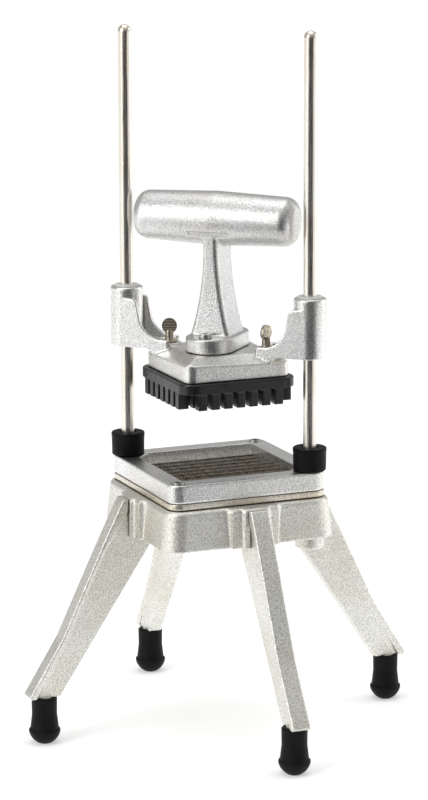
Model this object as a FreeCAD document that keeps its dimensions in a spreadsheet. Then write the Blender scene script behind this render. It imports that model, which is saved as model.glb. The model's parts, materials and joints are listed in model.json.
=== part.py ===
import FreeCAD, Part
import Sketcher
import math
import os
import re

# Hand-operated vegetable dicer. A cast head with a T-handle slides on two
# vertical guide rods and pushes a block of square plastic fingers through a
# crossed grid of blades. Millimetres, +Z up, the floor at z = 0 and the
# origin under the middle of the blade grid. The square castings lie along X
# and Y; the rods, the head's arms and the handle lie on the diagonal that
# runs from the left rear corner to the right front corner.

V = FreeCAD.Vector
doc = FreeCAD.newDocument("VegetableDicer")

# ------------------------------------------------------------ driving sizes

SIZES = {
    # guide rods
    "rod_diameter": 9.525,
    "rod_spacing": 138.6,
    "rod_top": 497.0,
    "stud_diameter": 7.9,
    "stud_clearance": 0.2,
    "rod_hole_clearance": 0.15,
    # heights of the stack, from the floor up
    "leg_foot_height": 33.5,
    "base_bottom": 144.0,
    "base_height": 28.0,
    "plate_thickness": 4.8,
    "frame_thickness": 13.5,
    "seam_chamfer": 0.9,
    "head_gap": 63.6,
    # blade grid
    "cell_pitch": 9.525,
    "opening_width": 91.0,
    "opening_corner_cut": 10.2,
    "frame_inset": 21.0,
    "frame_width": "=rod_spacing - frame_inset",
    "frame_corner": 9.0,
    "blade_thickness": 0.5,
    "blade_height": 4.4,
    "blade_embed": 5.0,
    "blade_drop": 5.2,
    "blade_gap": 0.2,
    "slot_clearance": 0.1,
    "pin_diameter": 2.0,
    "pin_inset": 2.5,
    "frame_screw_place": 51.0,
    # base casting
    "skirt_top_width": 124.0,
    "skirt_bottom_width": 129.0,
    "skirt_corner": 14.0,
    "shoulder_radius": 3.4,
    "step_shoulder_radius": 2.8,
    "casting_wall": 4.5,
    "top_wall": 6.0,
    "leg_block_width": 35.0,
    "leg_block_reach": 67.2,
    "leg_pad_width": 18.0,
    "leg_pad_reach": 70.3,
    "chute_wall_start": 46.5,
    "tongue_start": 58.0,
    "tongue_height": 23.6,
    "tongue_clearance": 0.15,
    "rod_boss_diameter": 20.5,
    "rod_boss_drop": 9.0,
    "nut_recess_diameter": 16.0,
    "nut_recess_depth": 10.0,
    "rod_seat_thickness": 4.0,
    # legs
    "web_thickness": 9.6,
    "flange_overhang": 2.0,
    "flange_width": "=web_thickness + 2 * flange_overhang",
    "flange_thickness": 3.2,
    "flange_gap": 0.4,
    "leg_shoulder_gap": 0.3,
    "leg_reach": 146.0,
    "leg_end_width": 23.5,
    "leg_root": 49.2,
    "leg_top_reach": 74.2,
    "leg_top_drop": 1.0,
    "knee_reach": 18.2,
    "knee_drop": 9.0,
    "shin_inset": 25.0,
    "shin_rise": 41.5,
    "foot_inset": 13.1,
    "foot_radius_place": "=leg_reach - foot_inset",
    "foot_stub_diameter": 12.0,
    "foot_stub_length": 20.5,
    "foot_diameter": 22.2,
    "foot_neck_diameter": 18.1,
    "foot_pad_diameter": 9.0,
    # M5 screws
    "screw_diameter": 5.0,
    "screw_head_diameter": 8.5,
    "screw_head_height": 5.0,
    "screw_socket": 4.0,
    "screw_hole_clearance": 0.5,
    "thread_clearance": 0.1,
    "leg_bolt_length": 14.0,
    "leg_bolt_low": 7.5,
    "leg_bolt_rise": 10.5,
    "bolt_recess_diameter": 10.4,
    "bolt_recess_depth": 7.4,
    "washer_diameter": 9.2,
    "washer_thickness": 1.2,
    # bumpers
    "bumper_diameter": 23.8,
    "bumper_height": 16.5,
    "bumper_bore_clearance": 0.3,
    # sliding head
    "head_width": 78.4,
    "head_corner": 7.0,
    "head_side_height": 16.4,
    "roof_start": 28.5,
    "roof_drop": 5.2,
    "roof_tilt": 1.8,
    "boss_diameter": 23.0,
    "boss_height": 43.4,
    "boss_round": 1.4,
    "arm_start": 33.5,
    "arm_top_height": 34.6,
    "arm_throat": 54.6,
    "arm_floor": 4.0,
    "arm_wall": 3.0,
    "arm_inner_height": 6.6,
    "arm_curve_foot": 40.5,
    "arm_curve_height": 18.5,
    "arm_curve_radius": 19.0,
    "arm_shoulder": 4.6,
    "arm_arch_start": 43.6,
    "arm_arch_drop": 6.4,
    "arm_arch_radius": 7.0,
    "bushing_diameter": 12.7,
    "bushing_length": 14.0,
    "bushing_flange_diameter": 17.0,
    "bushing_flange": 1.2,
    "bushing_clearance": 0.04,
    "bushing_inset": 1.0,
    # T-handle
    "bar_length": 118.4,
    "bar_middle_diameter": 38.1,
    "bar_end_diameter": 34.6,
    "bar_end_radius": 8.5,
    "bar_height": 92.0,
    "stalk_top_width": 11.6,
    "stalk_bottom_width": 31.0,
    "stalk_width_radius": 230.0,
    "stalk_top_depth": 30.2,
    "stalk_bottom_depth": 31.0,
    "stalk_depth_radius": 600.0,
    "stalk_corner": 3.2,
    "root_radius": 2.6,
    "foot_height": 10.8,
    "foot_end_radius": 17.2,
    "foot_end_place": 13.2,
    "foot_round": 1.2,
    "ear_place": 22.4,
    "ear_recess": 2.0,
    "handle_screw_length": 22.0,
    # pusher block
    "pusher_plate_width": 86.4,
    "pusher_plate_corner": 11.0,
    "pusher_plate_thickness": 7.0,
    "finger_length": 11.5,
    "finger_slot": 3.2,
    "finger_edge_inset": 0.25,
    "insert_diameter": 8.0,
    "insert_length": 6.3,
    # thumb screws
    "thumb_place": 36.6,
    "thumb_shank_diameter": 6.0,
    "thumb_bore_clearance": 0.05,
    "thumb_hole_clearance": 0.3,
    "thumb_seat_diameter": 17.0,
    "thumb_collar_diameter": 11.2,
    "thumb_collar_height": 1.4,
    "thumb_neck_diameter": 6.2,
    "thumb_spade_diameter": 10.8,
    "thumb_spade_thickness": 2.6,
    "thumb_spade_rise": 11.4,
    "thumb_ridge_pitch": 1.9,
    "thumb_ridge_depth": 0.35,
    "left_spade_turn": 22.0,
    "right_spade_turn": 77.0,
}

sheet = doc.addObject("Spreadsheet::Sheet", "Sizes")
for row, (alias, size) in enumerate(SIZES.items(), start=1):
    sheet.set(f"A{row}", alias)
    sheet.set(f"B{row}", str(size))
    sheet.setAlias(f"B{row}", alias)
doc.recompute()

# ------------------------------------------------- sizes that follow from them

DERIVED = {
    "rod_place": "rod_spacing / 2",
    "rod_radius": "rod_diameter / 2",
    "rod_corner": "rod_place / sqrt(2)",
    "base_top": "base_bottom + base_height",
    "plate_top": "base_top + plate_thickness",
    "frame_bottom": "plate_top",
    "frame_top": "frame_bottom + frame_thickness",
    "bumper_top": "frame_top + bumper_height",
    "head_bottom": "bumper_top + head_gap",
    # blades: the upper layer runs along X, the lower one along Y
    "opening_half": "opening_width / 2",
    "frame_half": "frame_width / 2",
    "upper_blade_top": "frame_top - blade_drop",
    "upper_blade_bottom": "upper_blade_top - blade_height",
    "lower_blade_top": "upper_blade_bottom - blade_gap",
    "lower_blade_bottom": "lower_blade_top - blade_height",
    "blade_half": "opening_half + blade_embed",
    "pin_place": "opening_half + pin_inset",
    "pin_half": "3.5 * cell_pitch + 3.5",
    # base casting
    "boss_bottom": "base_bottom - rod_boss_drop",
    "rod_seat_bottom": "boss_bottom + nut_recess_depth",
    "rod_seat_top": "rod_seat_bottom + rod_seat_thickness",
    "tongue_top": "base_bottom + tongue_height",
    "low_bolt": "base_bottom + leg_bolt_low",
    "high_bolt": "low_bolt + leg_bolt_rise",
    # head
    "block_bottom": "head_seat - head_side_height",
    "head_seat": "head_bottom + 2.1",
    "arm_floor_top": "head_bottom + arm_floor",
    "boss_top": "head_bottom + boss_height",
    "thumb_seat": "arm_floor_top",
    # handle
    "foot_top": "head_seat + foot_height",
    "bar_axis": "head_seat + bar_height",
    "screw_seat": "foot_top - ear_recess",
    # pusher
    "plate_under": "block_bottom - pusher_plate_thickness",
    "finger_bottom": "plate_under - finger_length",
    "finger_half": "4.5 * cell_pitch - finger_edge_inset",
    "corner_cell": "3.5 * cell_pitch - finger_slot / 2",
    # thumb screws
    "collar_top": "thumb_seat + thumb_collar_height",
    "spade_axis": "thumb_seat + thumb_spade_rise",
    "thumb_tip": "block_bottom - insert_length + 0.3",
}


def full(text):
    """An expression that FreeCAD can read, from one written with size names."""
    def swap(match):
        word = match.group(0)
        if word in SIZES:
            return "Sizes." + word
        if word in DERIVED:
            return "(" + full(DERIVED[word]) + ")"
        return word
    return re.sub(r"[a-z_]+", swap, str(text))


def value(text):
    """The number that an expression has now."""
    return float(sheet.evalExpression(full(text)))


def bind(obj, **sizes):
    """Ties an object's properties to expressions; placement parts by x, y and z."""
    places = {"x": "Placement.Base.x", "y": "Placement.Base.y", "z": "Placement.Base.z"}
    for name, text in sizes.items():
        obj.setExpression(places.get(name, name), full(text))
    return obj


def turn(obj, axis, angle):
    """Sets the turn of an object's placement, in degrees."""
    obj.Placement = FreeCAD.Placement(obj.Placement.Base, FreeCAD.Rotation(axis, angle))
    return obj


X_AXIS, Y_AXIS, Z_AXIS = V(1, 0, 0), V(0, 1, 0), V(0, 0, 1)
DIAGONAL = FreeCAD.Rotation(Z_AXIS, -45)   # takes X onto the rods' diagonal

# ---------------------------------------------------------- Part primitives


def cylinder(name, radius, height, **place):
    return bind(doc.addObject("Part::Cylinder", name), Radius=radius, Height=height, **place)


def box(name, length, width, height, **place):
    return bind(doc.addObject("Part::Box", name), Length=length, Width=width, Height=height, **place)


def centred_box(name, length, width, height, x, y, z):
    """A box centred on x and y that stands on z."""
    return box(name, length, width, height,
               x=f"{x} - ({length}) / 2", y=f"{y} - ({width}) / 2", z=z)


def hexagon(name, across_flats, height, **place):
    prism = doc.addObject("Part::Prism", name)
    prism.Polygon = 6
    return bind(prism, Circumradius=f"({across_flats}) / sqrt(3)", Height=height, **place)


def fuse(name, shapes):
    result = doc.addObject("Part::MultiFuse", name)
    result.Shapes = shapes
    result.Refine = True
    return result


def cut(name, base, tool):
    result = doc.addObject("Part::Cut", name)
    result.Base = base
    result.Tool = tool
    return result


def group(name, shapes):
    """Separate solids kept together as one piece of the model."""
    result = doc.addObject("Part::Compound", name)
    result.Links = shapes
    return result

# -------------------------------------------------------- PartDesign helpers


def new_body(name):
    return doc.addObject("PartDesign::Body", name)


def new_sketch(body, name, role, offset="0", raised="0", turned=0, tilted=0):
    """A sketch on an origin plane, moved along its normal and its own Y, turned about Y and tilted."""
    sketch = body.newObject("Sketcher::SketchObject", name)
    planes = [p for p in body.Origin.OriginFeatures if p.Role == role]
    sketch.AttachmentSupport = [(planes[0], "")]
    sketch.MapMode = "FlatFace"
    way = FreeCAD.Rotation(Y_AXIS, turned).multiply(FreeCAD.Rotation(X_AXIS, tilted))
    sketch.AttachmentOffset = FreeCAD.Placement(V(0, 0, 0), way)
    sketch.setExpression("AttachmentOffset.Base.z", full(offset))
    sketch.setExpression("AttachmentOffset.Base.y", full(raised))
    return sketch


def pin_point(sketch, line, end, x, y):
    """Fixes a line's end at x, y from the sketch's origin."""
    for text, kind, axis, place in ((x, "DistanceX", -2, value(x)), (y, "DistanceY", -1, value(y))):
        if abs(place) < 1e-9:
            sketch.addConstraint(Sketcher.Constraint("PointOnObject", line, end, axis))
            continue
        first, second = ((-1, 1), (line, end)) if place > 0 else ((line, end), (-1, 1))
        index = sketch.addConstraint(Sketcher.Constraint(kind, *first, *second, abs(place)))
        sketch.setExpression(f"Constraints[{index}]", full(text if place > 0 else f"-({text})"))


def arc_between(start, end, radius):
    """The shorter arc from start to end; a positive radius bulges to the right of the way."""
    chord = end - start
    middle = (start + end) * 0.5
    right = V(chord.y, -chord.x, 0).normalize()
    half = chord.Length / 2
    reach = math.sqrt(radius * radius - half * half)
    side = 1 if radius > 0 else -1
    centre = middle - right * side * reach
    top = centre + right * side * abs(radius)
    return Part.Arc(start, top, end)


def outline(sketch, points):
    """A closed outline. A point is (x, y), or (x, y, radius) where an arc leads to the next."""
    corners = [V(value(p[0]), value(p[1]), 0) for p in points]
    first = sketch.GeometryCount
    ends = []
    for index, point in enumerate(points):
        start, end = corners[index], corners[(index + 1) % len(points)]
        if len(point) == 2:
            sketch.addGeometry(Part.LineSegment(start, end))
            ends.append((1, 2))
            continue
        arc = arc_between(start, end, value(point[2]))
        line = sketch.addGeometry(arc)
        forward = (sketch.getPoint(line, 1) - start).Length < 1e-6
        ends.append((1, 2) if forward else (2, 1))
    for index, point in enumerate(points):
        line, following = first + index, first + (index + 1) % len(points)
        after = ends[(index + 1) % len(points)][0]
        sketch.addConstraint(Sketcher.Constraint("Coincident", line, ends[index][1], following, after))
        pin_point(sketch, line, ends[index][0], point[0], point[1])
    for index, point in enumerate(points):
        if len(point) == 3:
            size = abs(value(point[2]))
            number = sketch.addConstraint(Sketcher.Constraint("Radius", first + index, size))
            sketch.setExpression(f"Constraints[{number}]", full(f"abs({point[2]})"))
    return sketch


def ring(sketch, x, y, radius):
    circle = sketch.addGeometry(Part.Circle(V(value(x), value(y), 0), Z_AXIS, value(radius)))
    number = sketch.addConstraint(Sketcher.Constraint("Radius", circle, value(radius)))
    sketch.setExpression(f"Constraints[{number}]", full(radius))
    pin_point(sketch, circle, 3, x, y)
    return sketch


def square(sketch, half, x="0", y="0"):
    return outline(sketch, [(f"{x} - ({half})", f"{y} - ({half})"), (f"{x} + ({half})", f"{y} - ({half})"),
                            (f"{x} + ({half})", f"{y} + ({half})"), (f"{x} - ({half})", f"{y} + ({half})")])


def rectangle(sketch, x0, y0, x1, y1):
    return outline(sketch, [(x0, y0), (x1, y0), (x1, y1), (x0, y1)])


def feature(body, kind, name, sketch, length=None, reverse=False, symmetric=False):
    made = body.newObject("PartDesign::" + kind, name)
    made.Profile = sketch
    made.Reversed = reverse
    if symmetric:
        made.SideType = "Symmetric"
    if length is not None:
        bind(made, Length=length)
    doc.recompute()
    return made


def pad(body, name, sketch, length, **how):
    return feature(body, "Pad", name, sketch, length, **how)


def pocket(body, name, sketch, length, **how):
    """A pocket; its build stops if it takes nothing away."""
    before = body.Shape.Volume
    made = feature(body, "Pocket", name, sketch, length, **how)
    if not body.Shape.Volume < before - 1e-6:
        raise RuntimeError(f"{name} cuts nothing")
    return made


def revolve(body, name, sketch, axis="V_Axis"):
    made = body.newObject("PartDesign::Revolution", name)
    made.Profile = sketch
    made.ReferenceAxis = (sketch, [axis])
    made.Angle = 360
    doc.recompute()
    return made


def edge_names(made, test):
    """Names of a feature's edges that a test of (edge, middle point) accepts."""
    names = []
    for number, edge in enumerate(made.Shape.Edges, start=1):
        middle = edge.valueAt((edge.FirstParameter + edge.LastParameter) / 2)
        if test(edge, middle):
            names.append(f"Edge{number}")
    return names


def fillet(body, name, made, radius, test):
    names = edge_names(made, test)
    if not names:
        raise RuntimeError(f"{name} finds no edge")
    rounded = body.newObject("PartDesign::Fillet", name)
    rounded.Base = (made, names)
    bind(rounded, Radius=radius)
    doc.recompute()
    return rounded


def chamfer(body, name, made, size, test):
    rounded = body.newObject("PartDesign::Chamfer", name)
    rounded.Base = (made, edge_names(made, test))
    bind(rounded, Size=size)
    doc.recompute()
    return rounded


def upright(edge, middle):
    """True for an edge whose ends are mostly one above the other."""
    if len(edge.Vertexes) < 2:
        return False
    run = edge.Vertexes[1].Point - edge.Vertexes[0].Point
    return abs(run.z) > 3 * math.hypot(run.x, run.y)


def level(height):
    """A test for edges that lie at one height."""
    where = value(height)

    def test(edge, middle):
        return all(abs(v.Point.z - where) < 1e-4 for v in edge.Vertexes) and abs(middle.z - where) < 1e-4
    return test


NODES = []


def node(obj, name):
    """Gives a finished sub-part the label that names its file."""
    obj.Label = name
    NODES.append(obj)
    return obj

# ------------------------------------------------------------ guide rods


SIDES = (("left", -1), ("right", 1))


def on_diagonal(obj, side, height="0"):
    """Places an object on the rods' diagonal; side is -1 at the left rear, 1 at the right front."""
    return bind(obj, x=f"{side} * rod_corner", y=f"-({side}) * rod_corner", z=height)


for name, side in SIDES:
    shaft = cylinder(f"RodShaft_{name}", "rod_radius", "rod_top - rod_radius - rod_seat_top",
                     z="rod_seat_top")
    dome = bind(doc.addObject("Part::Sphere", f"RodDome_{name}"), Radius="rod_radius",
                z="rod_top - rod_radius")
    stud = cylinder(f"RodStud_{name}", "stud_diameter / 2", "rod_seat_top - boss_bottom - 1",
                    z="boss_bottom + 1")
    rod = fuse(f"Rod_{name}", [shaft, dome, stud])
    node(on_diagonal(rod, side), f"guide_rod_{name}")

nuts, washers = [], []
for name, side in SIDES:
    washer = cut(f"RodWasher_{name}",
                 cylinder(f"RodWasherDisc_{name}", "nut_recess_diameter / 2 - 0.4", "washer_thickness"),
                 cylinder(f"RodWasherBore_{name}", "stud_diameter / 2 + stud_clearance", "washer_thickness"))
    washers.append(on_diagonal(washer, side, "rod_seat_bottom - washer_thickness"))
    nut = cut(f"RodNut_{name}", hexagon(f"RodNutHexagon_{name}", "12.7", "6.5"),
              cylinder(f"RodNutBore_{name}", "stud_diameter / 2 + thread_clearance / 2", "6.5"))
    nuts.append(on_diagonal(nut, side, "rod_seat_bottom - washer_thickness - 6.5"))
node(group("RodNuts", nuts), "rod_nuts")
node(group("RodWashers", washers), "rod_washers")

# ------------------------------------------------------------ rubber bumpers

for name, side in SIDES:
    bumper = new_body(f"Bumper_{name}")
    bore = "rod_radius + bumper_bore_clearance"
    outside = "bumper_diameter / 2"
    profile = outline(new_sketch(bumper, f"BumperProfile_{name}", "XZ_Plane"), [
        (bore, "0"), (f"{outside} - 1.1", "0"), (f"{outside} - 0.4", "0.7"),
        (f"{outside} - 0.2", "bumper_height - 3.2"), (outside, "bumper_height - 2.6"),
        (outside, "bumper_height - 1", "1"), (f"{outside} - 1", "bumper_height"),
        (f"{bore} + 1.5", "bumper_height"), (bore, "bumper_height - 1.2")])
    revolve(bumper, f"BumperRing_{name}", profile)
    node(on_diagonal(bumper, side, "frame_top"), f"bumper_{name}")

# ------------------------------------------------------------ rubber feet and legs

LEGS = (("right", 0), ("rear", 90), ("left", 180), ("front", 270))


def outer_edge(inset):
    """The leg's outer edge from the top down, moved inwards by an inset."""
    knee = ("leg_top_reach + knee_reach - 0.93 * (" + inset + ")",
            "base_bottom - knee_drop - 0.37 * (" + inset + ")")
    shin = ("leg_reach - shin_inset - 0.88 * (" + inset + ")",
            "leg_foot_height + shin_rise - 0.46 * (" + inset + ")")
    return [("leg_top_reach - (" + inset + ")", "base_top - leg_top_drop"),
            ("leg_top_reach + 2.4 - (" + inset + ")", "base_top - 5"),
            knee,
            shin,
            ("leg_reach - 0.85 * (" + inset + ")", "leg_foot_height + 1.5 - 0.5 * (" + inset + ")")]


def leg_web_outline():
    tip = "tongue_top - tongue_clearance"
    outer = outer_edge("flange_gap")
    return outer + [
        ("leg_reach - 2", "leg_foot_height"),
        ("leg_reach - leg_end_width", "leg_foot_height"),
        ("leg_root", "base_bottom - leg_shoulder_gap"),
        ("tongue_start", "base_bottom - leg_shoulder_gap"),
        ("tongue_start", tip),
        ("leg_pad_reach + flange_gap", tip),
        ("leg_pad_reach + flange_gap", "base_top - leg_top_drop")]


def leg_flange_outline():
    outer = outer_edge("0")
    inner = outer_edge("flange_thickness")
    return outer + [
        ("leg_reach - 2", "leg_foot_height"),
        ("leg_reach - 6", "leg_foot_height"),
        inner[3], inner[2],
        ("leg_pad_reach + flange_gap", "base_top - 9"),
        ("leg_pad_reach + flange_gap", "base_top - leg_top_drop")]


for name, angle in LEGS:
    leg = new_body(f"Leg_{name}")
    web = outline(new_sketch(leg, f"LegWebOutline_{name}", "XZ_Plane"), leg_web_outline())
    pad(leg, f"LegWeb_{name}", web, "web_thickness", symmetric=True)
    strip = outline(new_sketch(leg, f"LegFlangeOutline_{name}", "XZ_Plane"), leg_flange_outline())
    flange = pad(leg, f"LegFlange_{name}", strip, "flange_width", symmetric=True)
    fillet(leg, f"LegTopRound_{name}", flange, "1.2", lambda edge, middle: (
        abs(abs(middle.y) - value("flange_width / 2")) < 1e-4
        and middle.x > value("leg_top_reach - 1") + (value("base_top") - middle.z) * 0.3
        and middle.z > value("leg_foot_height + 3")))
    stub = ring(new_sketch(leg, f"LegStubOutline_{name}", "XY_Plane", "leg_foot_height"),
                "foot_radius_place", "0", "foot_stub_diameter / 2")
    pad(leg, f"LegStub_{name}", stub, "foot_stub_length", reverse=True)
    for height in ("low_bolt", "high_bolt"):
        hole = ring(new_sketch(leg, f"LegHoleOutline_{height}_{name}", "YZ_Plane", "tongue_start"),
                    "0", height, "screw_diameter / 2 + thread_clearance / 2")
        pocket(leg, f"LegHole_{height}_{name}", hole, "leg_bolt_length - 2", reverse=True)
    turn(leg, Z_AXIS, angle)
    node(leg, f"leg_{name}")

    foot = new_body(f"Foot_{name}")
    top = "leg_foot_height"
    lip = "foot_diameter / 2"
    neck = "foot_neck_diameter / 2"
    side = outline(new_sketch(foot, f"FootProfile_{name}", "XZ_Plane"), [
        ("0", "0"), ("foot_pad_diameter / 2", "0", "12.5"), (lip, "8.2"), (lip, "9.8"),
        (f"{lip} - 1.1", "11"), (f"{neck} - 0.2", "21"), (neck, f"{top} - 1.2"),
        (f"{neck} - 1", top), ("0", top)])
    rubber = revolve(foot, f"FootRubber_{name}", side)
    socket = ring(new_sketch(foot, f"FootSocketOutline_{name}", "XY_Plane", top),
                  "0", "0", "foot_stub_diameter / 2 + 0.05")
    pocket(foot, f"FootSocket_{name}", socket, "foot_stub_length + 0.5")
    turn(foot, Z_AXIS, angle)
    cosine, sine = round(math.cos(math.radians(angle))), round(math.sin(math.radians(angle)))
    bind(foot, x=f"{cosine} * foot_radius_place", y=f"{sine} * foot_radius_place")
    node(foot, f"foot_{name}")

# ------------------------------------------------------------ screws


def socket_screw(name, length):
    """A socket-head cap screw; its seat is at z = 0 and its shank points down."""
    head = cylinder(f"{name}_head", "screw_head_diameter / 2", "screw_head_height")
    shank = cylinder(f"{name}_shank", "screw_diameter / 2", length, z=f"-({length})")
    socket = hexagon(f"{name}_socket", "screw_socket", "2.6", z="screw_head_height - 2.5")
    return cut(f"{name}_screw", fuse(f"{name}_blank", [head, shank]), socket)


bolts, lock_washers = [], []
for name, angle in LEGS:
    cosine, sine = round(math.cos(math.radians(angle))), round(math.sin(math.radians(angle)))
    for height in ("low_bolt", "high_bolt"):
        seat = "chute_wall_start + bolt_recess_depth"
        disc = cylinder(f"LockWasherDisc_{height}_{name}", "washer_diameter / 2", "washer_thickness")
        bore = cylinder(f"LockWasherBore_{height}_{name}", "screw_diameter / 2 + 0.15", "washer_thickness")
        washer = cut(f"LockWasher_{height}_{name}", disc, bore)
        bolt = socket_screw(f"LegBolt_{height}_{name}", "leg_bolt_length")
        inwards = FreeCAD.Rotation(Z_AXIS, V(-cosine, -sine, 0))
        for piece, place in ((washer, seat), (bolt, f"{seat} - washer_thickness")):
            piece.Placement = FreeCAD.Placement(V(0, 0, 0), inwards)
            bind(piece, x=f"{cosine} * ({place})", y=f"{sine} * ({place})", z=height)
        lock_washers.append(washer)
        bolts.append(bolt)
node(group("LegBolts", bolts), "leg_bolts")
node(group("LegLockWashers", lock_washers), "leg_lock_washers")

# ------------------------------------------------------------ base casting

base = new_body("BaseCasting")
foot_square = square(new_sketch(base, "SkirtOutline", "XY_Plane", "base_bottom"), "skirt_bottom_width / 2")
made = pad(base, "Skirt", foot_square, "base_height")
bind(made, TaperAngle="-atan((skirt_bottom_width - skirt_top_width) / 2 / base_height)")
doc.recompute()
made = fillet(base, "SkirtCorners", made, "skirt_corner", upright)
made = fillet(base, "Shoulder", made, "shoulder_radius", level("base_top"))

# the first side's leg block and pad, with concave corners against the skirt, then the other three sides


def four_sides(name, originals):
    """Repeats features of the base casting at the middle of each side."""
    pattern = base.newObject("PartDesign::PolarPattern", name)
    pattern.Originals = originals
    pattern.Axis = (centre_mark, ["N_Axis"])
    pattern.Angle = 360
    pattern.Occurrences = 4
    base.Tip = pattern
    doc.recompute()
    return pattern


def stepped(name, width, reach, radius):
    """A flat-faced step that stands out from the skirt, its corners hollowed."""
    half, root = f"({width}) / 2", f"({reach}) - ({radius})"
    sketch = outline(new_sketch(base, f"{name}Outline", "XY_Plane", "base_bottom"), [
        (f"{root} - 3", f"-({half} + {radius})"), (root, f"-({half} + {radius})", f"-({radius})"),
        (reach, f"-({half})"), (reach, half, f"-({radius})"), (root, f"{half} + {radius}"),
        (f"{root} - 3", f"{half} + {radius}")])
    return pad(base, name, sketch, "base_height")


centre_mark = new_sketch(base, "CentreMark", "XY_Plane")
steps = [stepped("LegBlock", "leg_block_width", "leg_block_reach", "leg_block_reach - skirt_top_width / 2"),
         stepped("LegPad", "leg_pad_width", "leg_pad_reach", "leg_pad_reach - leg_block_reach")]
made = four_sides("SideSteps", steps)
made = fillet(base, "StepShoulder", made, "step_shoulder_radius", lambda edge, middle: (
    level("base_top")(edge, middle)
    and max(abs(middle.x), abs(middle.y)) > value("skirt_top_width / 2 + 0.4")))

# the casting is hollow under its top wall, open below, with a solid seat behind each leg
cavity_half = "skirt_top_width / 2 - casting_wall"
cavity = square(new_sketch(base, "CavityOutline", "XY_Plane", "base_bottom - 1"), cavity_half)
pocket(base, "Cavity", cavity, "base_height + 1 - top_wall", reverse=True)
seat = rectangle(new_sketch(base, "LegSeatOutline", "XY_Plane", "base_bottom"),
                 "chute_wall_start", "-leg_block_width / 2", "leg_block_reach - 3", "leg_block_width / 2")
seat = pad(base, "LegSeat", seat, "base_height - top_wall + 1")
four_sides("LegSeats", [seat])
bosses = new_sketch(base, "RodBossOutline", "XY_Plane", "boss_bottom")
for name, side in SIDES:
    ring(bosses, f"{side} * rod_corner", f"-({side}) * rod_corner", "rod_boss_diameter / 2")
made = pad(base, "RodBosses", bosses, "base_top - boss_bottom - 1")


def opening_outline(sketch):
    """The square opening, its two rod corners cut across."""
    half, trimmed = "opening_half", "opening_half - opening_corner_cut"
    return outline(sketch, [
        (f"-({half})", f"-({half})"), (trimmed, f"-({half})"), (half, f"-({trimmed})"),
        (half, half), (f"-({trimmed})", half), (f"-({half})", trimmed)])


throat = opening_outline(new_sketch(base, "ThroatOutline", "XY_Plane", "base_top + 1"))
pocket(base, "Throat", throat, "base_height + 2")

# sockets for the legs' tongues and their bolts
socket = rectangle(new_sketch(base, "TongueSocketOutline", "XY_Plane", "base_bottom - 1"),
                   "tongue_start", "-(web_thickness / 2 + tongue_clearance)",
                   "leg_pad_reach + 1", "web_thickness / 2 + tongue_clearance")
cuts = [pocket(base, "TongueSocket", socket, "tongue_height + 1", reverse=True)]
for label, depth, radius in (
        ("BoltHoles", "tongue_start - chute_wall_start + 1", "(screw_diameter + screw_hole_clearance) / 2"),
        ("BoltRecesses", "bolt_recess_depth", "bolt_recess_diameter / 2")):
    holes = new_sketch(base, f"{label}Outline", "YZ_Plane", "chute_wall_start")
    ring(holes, "0", "low_bolt", radius)
    ring(holes, "0", "high_bolt", radius)
    cuts.append(pocket(base, label, holes, depth, reverse=True))
four_sides("LegFixings", cuts)

# rods: a close hole above, a stud hole through the seat and a recess for the nut below
for label, height, depth, radius, up in (
        ("RodHole", "base_top + 1", "base_top + 1 - rod_seat_top",
         "rod_radius + rod_hole_clearance / 2", False),
        ("StudHole", "rod_seat_top", "rod_seat_thickness", "stud_diameter / 2 + stud_clearance / 2", False),
        ("NutRecess", "boss_bottom", "nut_recess_depth", "nut_recess_diameter / 2", True)):
    holes = new_sketch(base, f"{label}Outline", "XY_Plane", height)
    for name, side in SIDES:
        ring(holes, f"{side} * rod_corner", f"-({side}) * rod_corner", radius)
    pocket(base, label, holes, depth, reverse=up)
screw_holes = new_sketch(base, "FrameScrewHoleOutline", "XY_Plane", "base_top + 1")
for side in (-1, 1):
    ring(screw_holes, f"{side} * frame_screw_place", f"{side} * frame_screw_place",
         "screw_diameter / 2 + thread_clearance / 2")
pocket(base, "FrameScrewHoles", screw_holes, "12")
node(base, "base_casting")

# ------------------------------------------------------------ blade frame and its plate


def frame_body(label, bottom, thickness):
    """A square ring with rounded corners, holes for the rods and for two screws."""
    body = new_body(label)
    made = pad(body, f"{label}Slab", square(new_sketch(body, f"{label}Outline", "XY_Plane", bottom),
                                            "frame_half"), thickness)
    made = fillet(body, f"{label}Corners", made, "frame_corner", upright)
    top = f"({bottom}) + ({thickness})"
    opening = opening_outline(new_sketch(body, f"{label}OpeningOutline", "XY_Plane", top))
    pocket(body, f"{label}Opening", opening, thickness)
    holes = new_sketch(body, f"{label}RodHoleOutline", "XY_Plane", top)
    for name, side in SIDES:
        ring(holes, f"{side} * rod_corner", f"-({side}) * rod_corner", "rod_radius + rod_hole_clearance / 2")
    pocket(body, f"{label}RodHoles", holes, thickness)
    screws = new_sketch(body, f"{label}ScrewHoleOutline", "XY_Plane", top)
    for side in (-1, 1):
        ring(screws, f"{side} * frame_screw_place", f"{side} * frame_screw_place",
             "screw_diameter / 2 + screw_hole_clearance / 2")
    pocket(body, f"{label}ScrewHoles", screws, thickness)
    return body


def blade_slots(body, label, face, depth, along_x, width, up):
    """Slots on both sides of the opening for the eight blades of one layer."""
    half = f"({width}) / 2"
    first = "-3.5 * cell_pitch"
    sketch = new_sketch(body, f"{label}Outline", "XY_Plane", face)
    reach = "blade_half + slot_clearance"
    if along_x:
        rectangle(sketch, f"-({reach})", f"{first} - {half}", reach, f"{first} + {half}")
    else:
        rectangle(sketch, f"{first} - {half}", f"-({reach})", f"{first} + {half}", reach)
    slot = pocket(body, label, sketch, depth, reverse=up)
    pattern = body.newObject("PartDesign::LinearPattern", f"{label}Pattern")
    pattern.Originals = [slot]
    pattern.Direction = (sketch, ["V_Axis" if along_x else "H_Axis"])
    bind(pattern, Length="7 * cell_pitch")
    pattern.Occurrences = 8
    body.Tip = pattern
    doc.recompute()
    return pattern


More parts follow.
